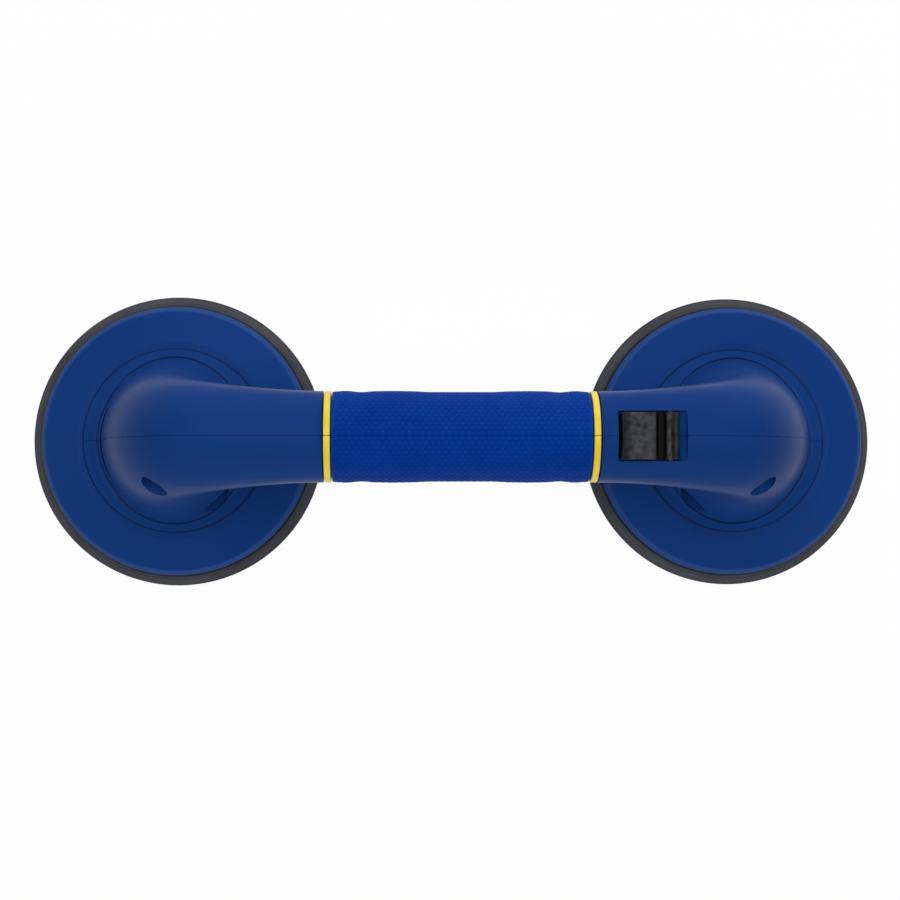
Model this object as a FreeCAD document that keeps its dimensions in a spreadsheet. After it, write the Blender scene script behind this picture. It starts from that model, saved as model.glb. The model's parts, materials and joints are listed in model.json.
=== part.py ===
import FreeCAD, Part
import math
import os
import re
import Sketcher
from FreeCAD import Placement, Rotation, Vector

# Two-cup suction lifter with a squeeze trigger, in millimetres.
# X runs along the handle, the front is -Y and Z points up from the surface that the cups stand on.

doc = FreeCAD.newDocument("SuctionLifter")
sheet = doc.addObject("Spreadsheet::Sheet", "Sizes")

sizes = {
    # Whole lifter
    "cup_spacing": 225.0,
    "handle_height": 75.0,
    "running_gap": 0.3,
    "parting_gap": 0.06,
    # Rubber pads
    "pad_diameter": 117.9,
    "pad_seal_width": 14.0,
    "pad_hollow": 3.0,
    "pad_web": 2.4,
    "pad_edge_height": 3.6,
    "pad_seat_height": 5.9,
    "pad_boss_radius": 12.0,
    "pad_boss_height": 10.0,
    # Cup discs
    "disc_margin": 4.45,
    "disc_rise": 9.8,
    "disc_rim_height": 5.0,
    "disc_wall": 2.8,
    "disc_lip_width": 6.0,
    "disc_edge_fillet": 3.4,
    "hub_radius": 24.0,
    "hub_wall": 2.6,
    "hub_flange": 2.0,
    "hub_flange_thickness": 2.0,
    "guide_wall": 3.2,
    "guide_height": 22.0,
    "disc_rib_thickness": 2.0,
    # Pull studs
    "stud_radius": 6.5,
    "stud_flange_radius": 9.0,
    "stud_flange_thickness": 2.0,
    "stud_neck_radius": 5.0,
    "stud_slot_width": 6.2,
    "stud_head": 6.3,
    "stud_pin_radius": 2.0,
    "seat_fit": 0.1,
    # Moulded housing
    "foot_radius": 36.5,
    "foot_thickness": 2.0,
    "foot_edge_fillet": 0.5,
    "foot_edge_height": 1.4,
    "flare_height": 10.8,
    "flare_width": 7.6,
    "flare_round": 6.0,
    "bell_half_width": 33.4,
    "bell_half_length": 29.5,
    "bend_radius": 32.0,
    "shell_wall": 2.6,
    "bell_room_drop": 25.0,
    "bell_room_radius": 20.8,
    "elbow_room_radius": 17.8,
    # Grip and accent rings
    "grip_radius": 16.9,
    "grip_thickness": 2.0,
    "grip_length": 94.6,
    "ring_width": 2.4,
    "ring_gap": 0.5,
    "core_wall": 2.2,
    # Housing screws and pegs
    "screw_radius": 1.6,
    "screw_head_radius": 3.1,
    "screw_head_height": 2.4,
    "screw_length": 22.0,
    "upper_screw_seat": 12.0,
    "lower_screw_seat": 16.0,
    "screw_recess_radius": 4.75,
    "screw_boss_radius": 6.2,
    "screw_post_radius": 3.6,
    "upper_screw_offset": -0.8,
    "upper_screw_rise": -4.0,
    "lower_screw_offset": 17.5,
    "lower_screw_rise": 5.5,
    "peg_radius": 1.5,
    "peg_length": 4.0,
    "peg_boss_radius": 3.2,
    "upper_peg_offset": 11.0,
    "upper_peg_rise": 22.5,
    "lower_peg_offset": 21.0,
    "lower_peg_rise": 6.8,
    "boss_reach": 40.0,
    # Squeeze trigger
    "trigger_travel": 14.0,
    "trigger_inset": 1.3,
    "trigger_half_width": 10.0,
    "trigger_wall": 2.4,
    "trigger_drop": 29.0,
    "trigger_depth": 20.5,
    "trigger_end_gap": 1.0,
    "web_thickness": 2.4,
    "trigger_side_round": 6.0,
    "trigger_end_round": 7.0,
    "arm_inner": 3.6,
    "arm_thickness": 2.8,
    "arm_drop": 10.8,
    "arm_depth": 6.8,
    "trigger_pin_radius": 1.75,
    "trigger_pin_drop": 7.5,
    # Lift levers
    "lever_pivot_reach": 14.0,
    "lever_arm": 54.5,
    "lever_pivot_drop": 23.0,
    "lever_thickness": 5.6,
    "lever_eye": 5.2,
    "lever_slot_rim": 1.9,
    "slot_play": 0.35,
    "lever_bend": 8.0,
    "pivot_pin_radius": 2.5,
    "pivot_boss_radius": 5.0,
    "pin_fit": 0.05,
    # Trigger springs
    "spring_radius": 5.2,
    "spring_wire": 0.9,
    "spring_turns": 5.0,
    "spring_post_radius": 3.8,
    "spring_post_height": 6.0,
    "spring_seat_rise": 10.2,
    # Ratchet strip
    "strip_thickness": 1.4,
    "strip_width": 6.0,
    "tooth_depth": 1.0,
    "tooth_pitch": 2.0,
    "strip_foot": 1.3,
    "tip_clearance": 0.25,
    "tooth_under": 0.15,
    "tooth_land": 0.3,
    # Thumb release
    "window_inset": 5.9,
    "window_length": 24.8,
    "window_half_width": 9.2,
    "window_ramp": 2.5,
    "window_bevel": 1.3,
    "release_pivot_inset": 18.3,
    "release_pivot_depth": 3.9,
    "release_pin_radius": 1.0,
    "release_half_width": 8.5,
    "release_spring_wire": 0.3,
    "release_spring_turns": 4,
    "release_gap": 1.1,
    "release_length": 20.6,
    "release_proud": 1.0,
    "release_skin": 0.6,
    "pawl_drop": 10.5,
    "catch_turn": 5.5,
    "pawl_width": 5.6,
}

# The sheet holds the plain numbers and gives each one its name.
for row, (name, value) in enumerate(sizes.items(), start=1):
    sheet.set(f"A{row}", name)
    sheet.set(f"B{row}", str(value))
    sheet.setAlias(f"B{row}", name)

# Places and sizes that follow from the ones in the sheet.
derived = {
    "cup_x": "cup_spacing / 2",
    "disc_diameter": "pad_diameter - 2 * disc_margin",
    "disc_top": "pad_seat_height + disc_rise",
    "foot_top": "disc_top + foot_thickness",
    "hub_flange_bottom": "foot_top + pin_fit",
    "hub_flange_top": "hub_flange_bottom + hub_flange_thickness",
    "guide_bore": "stud_radius + running_gap",
    "bend_end": "handle_height - bend_radius",
    "bend_start": "cup_x - bend_radius",
    "grip_end": "grip_length / 2",
    "ring_end": "grip_end + ring_gap + ring_width",
    "neck_start": "ring_end + ring_gap",
    "core_radius": "grip_radius - grip_thickness",
    "core_bore": "core_radius - core_wall",
    "trigger_length": "grip_length - 2 * trigger_inset",
    "trigger_bottom": "handle_height - trigger_drop",
    "trigger_top": "trigger_bottom + trigger_depth",
    "arm_bottom": "handle_height - arm_drop",
    "arm_top": "arm_bottom + arm_depth",
    "trigger_pin_height": "handle_height - trigger_pin_drop",
    "lever_pivot_height": "handle_height - lever_pivot_drop",
    "bell_room_height": "handle_height - bell_room_drop",
    "spring_seat_height": "handle_height + spring_seat_rise",
    "upper_screw_height": "handle_height + upper_screw_rise",
    "lower_screw_height": "foot_top + lower_screw_rise",
    "window_start": "neck_start + window_inset",
    "release_start": "window_start + release_gap",
    "release_pivot": "release_start + release_pivot_inset",
    "release_pivot_height": "handle_height + grip_radius - release_pivot_depth",
    "pawl_tip_height": "release_pivot_height - pawl_drop",
    "slot_half_width": "trigger_half_width + running_gap + 0.1",
    "slot_half_length": "trigger_length / 2 + trigger_end_gap",
    "pivot_x": "cup_x + lever_pivot_reach",
    "trigger_pin_x": "pivot_x - lever_arm",
    "half_travel": "trigger_travel / 2",
    "lever_reach": "sqrt(lever_arm^2 + half_travel^2)",
    "swing_cos": "lever_arm / lever_reach",
    "swing_sin": "half_travel / lever_reach",
    "pin_rise": "trigger_pin_height + half_travel - lever_pivot_height",
    "stud_pin_height": "lever_pivot_height - lever_pivot_reach * swing_sin",
    "stud_lift": "2 * lever_pivot_reach * swing_sin",
    "stud_top": "stud_pin_height + stud_head",
    "arm_outer": "arm_inner + arm_thickness",
    "web_end": "trigger_length / 2 + web_thickness",
    "release_end": "release_start + release_length",
    "release_pin_half": "window_half_width + 2",
    "flange_seat": "pad_seat_height + seat_fit",
    "flange_top": "flange_seat + stud_flange_thickness",
    "pin_half": "arm_outer + 5.4",
}


def linked(text):
    # Swap each size for its cell, and each derived name for its own formula.
    def swap(match):
        word = match[0]
        if word in derived:
            return f"({linked(derived[word])})"
        return f"Sizes.{word}" if word in sizes else word
    return re.sub(r"[a-z_][a-z_0-9]*", swap, str(text))


def number(text):
    return float(sheet.evalExpression(linked(text)))


def tie(obj, path, text):
    obj.setExpression(path, linked(text))


doc.recompute()


def put(obj, x="0", y="0", z="0"):
    for axis, text in (("x", x), ("y", y), ("z", z)):
        tie(obj, f"Placement.Base.{axis}", text)
    return obj


def box(name, low, high):
    block = doc.addObject("Part::Box", name)
    for side, a, b in zip(("Length", "Width", "Height"), low, high):
        tie(block, side, f"({b}) - ({a})")
    return put(block, *low)


turns = {"X": Rotation(Vector(0, 1, 0), 90), "Y": Rotation(Vector(1, 0, 0), -90), "Z": Rotation()}


def rod(name, radius, length, start, along="Y"):
    # A cylinder that begins at start and runs the positive way along the axis.
    cylinder = doc.addObject("Part::Cylinder", name)
    cylinder.Placement = Placement(Vector(), turns[along])
    tie(cylinder, "Radius", radius)
    tie(cylinder, "Height", length)
    return put(cylinder, *start)


def fused(name, *pieces):
    fuse = doc.addObject("Part::MultiFuse", name)
    fuse.Shapes = list(pieces)
    return fuse


def minus(name, base, *tools):
    cut = doc.addObject("Part::Cut", name)
    cut.Base = base
    cut.Tool = tools[0] if len(tools) == 1 else fused(name + "_tools", *tools)
    return cut


def overlap(name, *pieces):
    common = doc.addObject("Part::MultiCommon", name)
    common.Shapes = list(pieces)
    return common


def mirrored(name, source):
    mirror = doc.addObject("Part::Mirroring", name)
    mirror.Source = source
    mirror.Base = Vector(0, 0, 0)
    mirror.Normal = Vector(1, 0, 0)
    return mirror


def plane(body, role):
    return [feature for feature in body.Origin.OriginFeatures if feature.Role == role][0]


def sketchOutline(body, role, corners):
    # A closed outline on one of the body's origin planes. Each corner is (across, up) or
    # (across, up, radius), and a corner with a radius is rounded by an arc tangent to both sides.
    sketch = body.newObject("Sketcher::SketchObject", body.Name + "_outline")
    sketch.AttachmentSupport = [(plane(body, role), "")]
    sketch.MapMode = "FlatFace"
    points = [Vector(number(corner[0]), number(corner[1]), 0) for corner in corners]
    trimmed = []
    for index, corner in enumerate(corners):
        point = points[index]
        if len(corner) < 3:
            trimmed.append((point, point, None, 0))
            continue
        radius = number(corner[2])
        back = (points[index - 1] - point).normalize()
        ahead = (points[(index + 1) % len(points)] - point).normalize()
        half = back.getAngle(ahead) / 2
        reach = radius / math.tan(half)
        centre = point + (back + ahead).normalize() * (radius / math.sin(half))
        trimmed.append((point + back * reach, point + ahead * reach, centre, radius))
    sides = []
    for index in range(len(corners)):
        start = trimmed[index][1]
        finish = trimmed[(index + 1) % len(corners)][0]
        sides.append(sketch.addGeometry(Part.LineSegment(start, finish), False))
    for index, corner in enumerate(corners):
        before, after = sides[index - 1], sides[index]
        first, last, centre, radius = trimmed[index]
        if centre is None:
            sketch.addConstraint(Sketcher.Constraint("Coincident", before, 2, after, 1))
            held = (after, 1)
        else:
            start = math.atan2(first.y - centre.y, first.x - centre.x)
            finish = math.atan2(last.y - centre.y, last.x - centre.x)
            leftward = (finish - start) % (2 * math.pi) < math.pi
            if not leftward:
                start, finish = finish, start
            if finish < start:
                finish += 2 * math.pi
            circle = Part.Circle(centre, Vector(0, 0, 1), radius)
            arc = sketch.addGeometry(Part.ArcOfCircle(circle, start, finish), False)
            near, far = (1, 2) if leftward else (2, 1)
            sketch.addConstraint(Sketcher.Constraint("Tangent", before, 2, arc, near))
            sketch.addConstraint(Sketcher.Constraint("Tangent", arc, far, after, 1))
            size = sketch.addConstraint(Sketcher.Constraint("Radius", arc, radius))
            tie(sketch, f"Constraints[{size}]", corner[2])
            held = (sketch.addGeometry(Part.Point(points[index]), True), 1)
            sketch.addConstraint(Sketcher.Constraint("PointOnObject", *held, before))
            sketch.addConstraint(Sketcher.Constraint("PointOnObject", *held, after))
        for kind, value, text in (("DistanceX", points[index].x, corner[0]),
                                  ("DistanceY", points[index].y, corner[1])):
            place = sketch.addConstraint(Sketcher.Constraint(kind, -1, 1, *held, value))
            tie(sketch, f"Constraints[{place}]", text)
    return sketch


def revolved(name, corners):
    # A turned piece: corners are (radius, height) in the upright half plane.
    body = doc.addObject("PartDesign::Body", name)
    sketch = sketchOutline(body, "XZ_Plane", corners)
    turned = body.newObject("PartDesign::Revolution", name + "_turned")
    turned.Profile = sketch
    turned.ReferenceAxis = (sketch, ["V_Axis"])
    turned.Angle = 360
    return body


def plate(name, corners, thickness, role="XZ_Plane"):
    # A plate of the given outline, with its thickness shared evenly on both sides of the plane.
    body = doc.addObject("PartDesign::Body", name)
    sketch = sketchOutline(body, role, corners)
    padded = body.newObject("PartDesign::Pad", name + "_padded")
    padded.Profile = sketch
    padded.SideType = "Symmetric"
    tie(padded, "Length", thickness)
    return body


nodes = []


def finished(obj, name):
    obj.Label = name
    nodes.append(obj)
    return obj


hands = (("left", -1), ("right", 1))


def onCup(obj, sign):
    # Stand a piece that was made about the Z axis on the left or the right cup's own axis.
    obj.Placement = Placement(Vector(), Rotation(Vector(0, 0, 1), 0 if sign > 0 else 180))
    return put(obj, f"{sign} * cup_x")


# Rubber pads: a flat sealing ring, a hollow underside and a boss that holds the stud's flange
seal_inner = "pad_diameter / 2 - pad_seal_width"
cavity_floor = "flange_seat - running_gap"
cavity_roof = "flange_top + running_gap"
for side, sign in hands:
    pad = revolved(f"pad_{side}_turned_part", [
        ("0", "pad_hollow"),
        ("pad_boss_radius", "pad_hollow"),
        (f"{seal_inner} - 8", "pad_hollow * 0.55"),
        (seal_inner, "0"),
        ("pad_diameter / 2 - 1", "0"),
        ("pad_diameter / 2", "0.8"),
        ("pad_diameter / 2", "pad_edge_height - 0.6"),
        ("pad_diameter / 2 - 0.6", "pad_edge_height"),
        ("disc_diameter / 2 + 0.4", "pad_seat_height - 0.3"),
        ("disc_diameter / 2 - 0.6", "pad_seat_height"),
        ("disc_diameter / 2 - disc_lip_width - 1", "pad_seat_height"),
        ("disc_diameter / 2 - disc_lip_width - 3.6", "pad_web + pad_hollow * 0.4"),
        ("pad_boss_radius + 3", "pad_hollow + pad_web"),
        ("pad_boss_radius + 0.6", "pad_hollow + pad_web + 1"),
        ("pad_boss_radius", "pad_boss_height - 1.2"),
        ("pad_boss_radius - 1.2", "pad_boss_height"),
        ("stud_neck_radius + running_gap", "pad_boss_height"),
        ("stud_neck_radius + running_gap", cavity_roof),
        ("stud_flange_radius + running_gap", cavity_roof),
        ("stud_flange_radius + running_gap", cavity_floor),
        ("0", cavity_floor),
    ])
    finished(onCup(pad, sign), f"suction_pad_{side}")

# Cup discs: a shallow dished plate with a rounded rim, a hub that the housing clamps and a
# tube that guides the stud
boss_clearance = "pad_boss_radius + 1.8"
disc_under = "disc_top - disc_wall"
boss_roof = "pad_boss_height + stud_lift + 0.8"
for side, sign in hands:
    disc = revolved(f"disc_{side}_turned_part", [
        ("guide_bore", boss_roof),
        (boss_clearance, boss_roof),
        (boss_clearance, disc_under),
        ("foot_radius + 2", disc_under),
        ("disc_diameter / 2 - disc_lip_width - disc_wall",
         "pad_seat_height + disc_rim_height - disc_wall"),
        ("disc_diameter / 2 - disc_lip_width", "pad_seat_height"),
        ("disc_diameter / 2", "pad_seat_height"),
        ("disc_diameter / 2", "pad_seat_height + disc_rim_height", "disc_edge_fillet"),
        ("foot_radius + 3", "disc_top"),
        ("hub_radius", "disc_top"),
        ("hub_radius", "hub_flange_bottom"),
        ("hub_radius + hub_flange", "hub_flange_bottom"),
        ("hub_radius + hub_flange", "hub_flange_top - 0.6"),
        ("hub_radius + hub_flange - 0.6", "hub_flange_top"),
        ("hub_radius - hub_wall", "hub_flange_top"),
        ("hub_radius - hub_wall", "disc_top"),
        (f"{boss_clearance} + hub_wall", "disc_top"),
        (f"{boss_clearance} + hub_wall", f"{boss_roof} + hub_wall"),
        ("guide_bore + guide_wall", f"{boss_roof} + hub_wall"),
        ("guide_bore + guide_wall", "pad_seat_height + guide_height"),
        ("guide_bore", "pad_seat_height + guide_height"),
    ])
    web = plate(f"disc_{side}_web", [
        (f"{boss_clearance} + hub_wall / 2", f"{disc_under} + 0.6"),
        ("hub_radius - hub_wall / 2", f"{disc_under} + 0.6"),
        ("hub_radius - hub_wall / 2", "hub_flange_top - 0.4"),
        (f"{boss_clearance} + hub_wall / 2", "hub_flange_top - 0.4"),
    ], "disc_rib_thickness")
    ribs = web.newObject("PartDesign::PolarPattern", f"disc_{side}_ribs")
    ribs.Originals = [web.Tip]
    ribs.Axis = (plane(web, "Z_Axis"), [""])
    ribs.Angle = 360
    ribs.Occurrences = 8
    web.Tip = ribs
    finished(onCup(fused(f"disc_{side}", disc, web), sign), f"cup_disc_{side}")

# Pull studs: turned, forked at the top for the lever and cross-drilled for its pin
for side, sign in hands:
    stud = revolved(f"stud_{side}_turned_part", [
        ("0", "flange_seat"),
        ("stud_flange_radius - 0.4", "flange_seat"),
        ("stud_flange_radius", "flange_seat + 0.4"),
        ("stud_flange_radius", "flange_top"),
        ("stud_neck_radius", "flange_top"),
        ("stud_neck_radius", "pad_boss_height + 1"),
        ("stud_radius", "pad_boss_height + 1"),
        ("stud_radius", "stud_top - 1.2"),
        ("stud_radius - 1.2", "stud_top"),
        ("0", "stud_top"),
    ])
    fork = box(f"stud_{side}_fork",
               ("-2 * stud_radius", "-stud_slot_width / 2", "stud_pin_height - stud_head - 0.4"),
               ("2 * stud_radius", "stud_slot_width / 2", "stud_top + 1"))
    drilled = rod(f"stud_{side}_hole", "stud_pin_radius + pin_fit", "4 * stud_radius",
                  ("0", "-2 * stud_radius", "stud_pin_height"))
    finished(onCup(minus(f"stud_{side}", stud, fork, drilled), sign), f"pull_stud_{side}")
    pin = rod(f"stud_{side}_pin", "stud_pin_radius", "2 * stud_radius - 1.2",
              (f"{sign} * cup_x", "0.6 - stud_radius", "stud_pin_height"))
    finished(pin, f"stud_pin_{side}")

# Lift levers: a cranked plate. It is drawn at mid swing about its pivot, and at rest it hangs
# half the swing below that.
slot_radius = "trigger_pin_radius + slot_play"
slot_level = "pin_rise * swing_cos"
slot_centre = "lever_arm * swing_cos + half_travel * swing_sin"
slot_reach = "pin_rise * swing_sin + slot_play"
end_half = "trigger_pin_radius + slot_play + lever_slot_rim"
end_tip = f"{slot_centre} + {slot_reach} + {end_half}"
stud_reach = "lever_pivot_reach * (1 + swing_cos) / 2"
for side, sign in hands:
    name = f"lever_{side}"
    outline = plate(f"{name}_plate", [
        ("lever_eye", "-lever_eye", "lever_eye - 0.1"),
        ("lever_eye", "lever_eye", "lever_eye - 0.1"),
        (f"-({stud_reach}) + 2", "lever_eye", "lever_bend"),
        (f"-({slot_centre}) + {slot_reach} + 4", f"{slot_level} + {end_half}", "lever_bend"),
        (f"-({end_tip})", f"{slot_level} + {end_half}", f"{end_half} - 0.1"),
        (f"-({end_tip})", f"{slot_level} - ({end_half})", f"{end_half} - 0.1"),
        (f"-({slot_centre}) + {slot_reach} + 1", f"{slot_level} - ({end_half})", "lever_bend"),
        (f"-({stud_reach}) - 2", "-lever_eye", "lever_bend"),
    ], "lever_thickness")
    slot_near = f"-({slot_centre} - ({slot_reach}) - ({slot_radius}))"
    slot_far = f"-({slot_centre} + {slot_reach} + {slot_radius})"
    slot_round = f"{slot_radius} - 0.02"
    slot = plate(f"{name}_slot", [
        (slot_far, f"{slot_level} - ({slot_radius})", slot_round),
        (slot_near, f"{slot_level} - ({slot_radius})", slot_round),
        (slot_near, f"{slot_level} + {slot_radius}", slot_round),
        (slot_far, f"{slot_level} + {slot_radius}", slot_round),
    ], "2 * lever_thickness")
    eye = rod(f"{name}_eye", "pivot_pin_radius + pin_fit", "2 * lever_thickness",
              ("0", "-lever_thickness", "0"))
    stud_hole = rod(f"{name}_stud_hole", "stud_pin_radius + running_gap", "2 * lever_thickness",
                    (f"-({stud_reach})", "-lever_thickness", "0"))
    lever = minus(name, outline, slot, eye, stud_hole)
    rest_angle = math.degrees(math.asin(number("swing_sin")))
    facing = Rotation(Vector(0, 0, 1), 0 if sign > 0 else 180)
    lever.Placement = Placement(Vector(), facing * Rotation(Vector(0, 1, 0), -rest_angle))
    put(lever, f"{sign} * pivot_x", "0", "lever_pivot_height")
    finished(lever, f"lift_lever_{side}")
    finished(rod(f"{name}_pivot_pin", "pivot_pin_radius", "2 * pin_half",
                 (f"{sign} * pivot_x", "-pin_half", "lever_pivot_height")),
             f"lever_pivot_pin_{side}")

# Housing: one tube from cup to cup, lofted through ellipses that turn from the handle's axis
# down to the cup's axis and open out into a bell. Each station gives the angle of the bend, or
# the share of a straight run, and how far the section has grown from the grip to the bell.
stations = [
    ("neck", 0, 0), ("bend", 0, 0.11), ("bend", 45, 0.33), ("bend", 90, 0.62), ("drop", 0.5, 0.8),
    ("drop", 1, 1),
]


def elbow(name):
    # Loft the right cup's elbow. Each section is an ellipse in four quarters, so that the surface
    # keeps seams on the parting plane.
    upright = Rotation(Vector(1, 1, 1), 120)
    sections = []
    for index, (kind, share, growth) in enumerate(stations):
        angle = {"neck": 0, "bend": share, "drop": 90}[kind]
        across = number(f"grip_radius + (bell_half_width - grip_radius) * {growth}")
        along = number(f"grip_radius + (bell_half_length - grip_radius) * {growth}")
        x = number("bend_start") + number("bend_radius") * math.sin(math.radians(angle))
        z = number("bend_end") + number("bend_radius") * math.cos(math.radians(angle))
        if kind == "neck":
            x = number("neck_start")
            z = number("handle_height")
        if kind == "drop":
            x = number("cup_x")
            z = number(f"bend_end - (bend_end - foot_top + 1) * {share}")
        ellipse = Part.Ellipse(Vector(), across + 0.001, along)
        quarter = math.pi / 2
        section = doc.addObject("Part::Feature", f"{name}_section_{index}")
        section.Shape = Part.Wire([
            Part.Edge(ellipse, quarter * step, quarter * (step + 1)) for step in range(4)])
        section.Placement = Placement(Vector(x, 0, z), Rotation(Vector(0, 1, 0), angle) * upright)
        sections.append(section)
    loft = doc.addObject("Part::Loft", name)
    loft.Sections = sections
    loft.Solid = True
    loft.MaxDegree = 3
    return loft


elbow_right = elbow("elbow_right")
elbow_left = mirrored("elbow_left", elbow_right)
core = rod("core", "core_radius", "2 * neck_start + 2",
           ("-neck_start - 1", "0", "handle_height"), "X")

# The hollow for the mechanism: a bore through the handle into the elbows, a round room in each
# elbow, a domed one over each cup that opens out towards its foot, and a slot for each lever
room_end = "cup_x - 9.5"
lever_clear = "lever_thickness / 2 + 2 * running_gap"
rooms = [rod("handle_bore", "core_bore", f"2 * ({room_end})",
             (f"-({room_end})", "0", "handle_height"), "X")]
for side, sign in hands:
    bell_room = revolved(f"bell_room_{side}", [
        ("0", "disc_top"),
        ("bell_half_length - shell_wall", "disc_top"),
        ("bell_half_length - shell_wall", "foot_top"),
        ("bell_room_radius", "bell_room_height"),
        ("0", "bell_room_height"),
    ])
    rooms.append(onCup(bell_room, sign))
    half_way = "bend_radius * sqrt(2) / 2"
    for place, radius, x, z in (
            ("bell_dome", "bell_room_radius", "cup_x", "bell_room_height"),
            ("elbow_room", "elbow_room_radius", f"bend_start + {half_way}", f"bend_end + {half_way}")):
        ball = doc.addObject("Part::Sphere", f"{place}_{side}")
        tie(ball, "Radius", radius)
        rooms.append(put(ball, f"{sign} * ({x})", "0", z))
    rooms.append(plate(f"lever_room_{side}", [
        (f"{sign} * trigger_pin_x", "trigger_pin_height - 5.5"),
        (f"{sign} * (trigger_pin_x + 17)", "trigger_pin_height - 13"),
        (f"{sign} * (trigger_pin_x + 30)", "trigger_pin_height - 13"),
        (f"{sign} * (trigger_pin_x + 30)", "trigger_pin_height"),
        (f"{sign} * trigger_pin_x", "trigger_pin_height"),
    ], f"2 * ({lever_clear})"))

feet = []
flange_rooms = []
for side, sign in hands:
    foot = revolved(f"foot_{side}", [
        ("hub_radius + running_gap", "disc_top"),
        ("foot_radius", "disc_top"),
        ("foot_radius", "disc_top + foot_edge_height", "foot_edge_fillet"),
        ("foot_radius - 5.5", "disc_top + foot_edge_height + 1.3", "flare_round"),
        ("foot_radius - flare_width", "disc_top + flare_height"),
        ("foot_radius - flare_width - 0.6", "disc_top + flare_height"),
        ("foot_radius - flare_width - 0.6", "foot_top"),
        ("hub_radius + running_gap", "foot_top"),
    ])
    feet.append(onCup(foot, sign))
    # Room in the foot for the disc's hub, and over the foot for the hub's flange
    flange_rooms.append(rod(f"flange_room_{side}", "hub_radius + hub_flange + running_gap",
                            "hub_flange_thickness + 1", (f"{sign} * cup_x", "0", "foot_top"), "Z"))
    flange_rooms.append(rod(f"hub_room_{side}", "hub_radius + running_gap", "foot_thickness",
                            (f"{sign} * cup_x", "0", "disc_top"), "Z"))

outside = fused("housing_outside", elbow_right, elbow_left, core)
skin = minus("housing_skin", outside, *rooms)

# Bosses and posts inside the housing, trimmed to its outside
screw_places = []
for side, sign in hands:
    for level in ("upper", "lower"):
        screw_places.append((f"{side}_{level}", f"{sign} * (cup_x - {level}_screw_offset)",
                             f"{level}_screw_height", f"{level}_screw_seat"))
peg_places = []
for side, sign in hands:
    peg_places.append((f"{side}_upper", f"{sign} * (cup_x + upper_peg_offset)",
                       "bend_end + upper_peg_rise"))
    peg_places.append((f"{side}_lower", f"{sign} * (cup_x + lower_peg_offset)",
                       "foot_top + lower_peg_rise"))

bosses = []
for name, x, z, seat in screw_places:
    bosses.append(rod(f"screw_boss_{name}", "screw_boss_radius", f"boss_reach - {seat} + 2.5",
                      (x, "-boss_reach", z)))
    bosses.append(rod(f"screw_post_{name}", "screw_post_radius", "2 * boss_reach",
                      (x, "-boss_reach", z)))
for name, x, z in peg_places:
    bosses.append(rod(f"peg_boss_{name}", "peg_boss_radius", "2 * boss_reach",
                      (x, "-boss_reach", z)))
for side, sign in hands:
    for end, start in (("front", "-boss_reach"), ("rear", lever_clear)):
        bosses.append(rod(f"pivot_boss_{side}_{end}", "pivot_boss_radius",
                          f"boss_reach - ({lever_clear})",
                          (f"{sign} * pivot_x", start, "lever_pivot_height")))
bosses.append(rod("spring_post", "spring_post_radius", "spring_post_height + 4",
                  ("0", "0", "spring_seat_height - spring_post_height"), "Z"))
bosses.append(rod("spring_seat", "spring_radius + spring_wire + 0.6", "5",
                  ("0", "0", "spring_seat_height"), "Z"))
for end, start in (("front", "-window_half_width - 6"), ("rear", "window_half_width")):
    bosses.append(rod(f"release_boss_{end}", "release_pin_radius + 1.8", "6",
                      ("release_pivot", start, "release_pivot_height")))
trimmed = overlap("bosses_trimmed", fused("bosses", *bosses), outside)
solid_housing = fused("housing_solid", skin, trimmed, *feet)

# What is cut out of both halves
cuts = list(flange_rooms)
cuts.append(box("trigger_slot", ("-slot_half_length", "-slot_half_width", "trigger_bottom"),
                ("slot_half_length", "slot_half_width", "handle_height")))
cuts.append(plate("release_window", [
    ("window_start", "release_pivot_height - 3"),
    ("window_start + window_length - window_ramp", "release_pivot_height - 3"),
    ("window_start + window_length - window_ramp", "release_pivot_height + 1"),
    ("window_start + window_length", "handle_height + grip_radius - 1.2"),
    ("window_start + window_length", "handle_height + grip_radius + 8"),
    ("window_start - window_bevel", "handle_height + grip_radius + 8"),
    ("window_start - window_bevel", "handle_height + grip_radius + 0.3"),
    ("window_start", "handle_height + grip_radius - 0.9"),
], "2 * window_half_width"))
for side, sign in hands:
    cuts.append(rod(f"pivot_hole_{side}", "pivot_pin_radius + pin_fit", "2 * pin_half + 0.4",
                    (f"{sign} * pivot_x", "-pin_half - 0.2", "lever_pivot_height")))
cuts.append(rod("release_hole", "release_pin_radius + pin_fit", "2 * release_pin_half + 0.2",
                ("release_pivot", "-release_pin_half - 0.1", "release_pivot_height")))
for name, x, z, seat in screw_places:
    cuts.append(rod(f"screw_recess_{name}", "screw_recess_radius", "boss_reach",
                    (x, f"-boss_reach - {seat}", z)))
    cuts.append(rod(f"screw_shank_{name}", "screw_radius + pin_fit", "screw_length + 1",
                    (x, f"-{seat} - 0.5", z)))
housing = minus("housing", solid_housing, *cuts)

# The two halves part on the plane through both cups


def halfSpace(name, sign):
    near, far = f"{sign} * parting_gap", f"{sign} * cup_spacing"
    low, high = (far, near) if sign < 0 else (near, far)
    return box(name, ("-cup_spacing", low, "0"), ("cup_spacing", high, "2 * handle_height"))


def pegs(end, radius):
    return [rod(f"peg_{end}_{name}", radius, "2 * peg_length", (x, "-peg_length", z))
            for name, x, z in peg_places]


front_half = overlap("shell_front", housing, halfSpace("front_half", -1))
rear_half = overlap("shell_rear", housing, halfSpace("rear_half", 1))
finished(fused("shell_front_pegged", front_half, *pegs("front", "peg_radius")), "handle_shell_front")
finished(minus("shell_rear_holed", rear_half, *pegs("rear", "peg_radius + running_gap / 2")),
         "handle_shell_rear")


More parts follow.
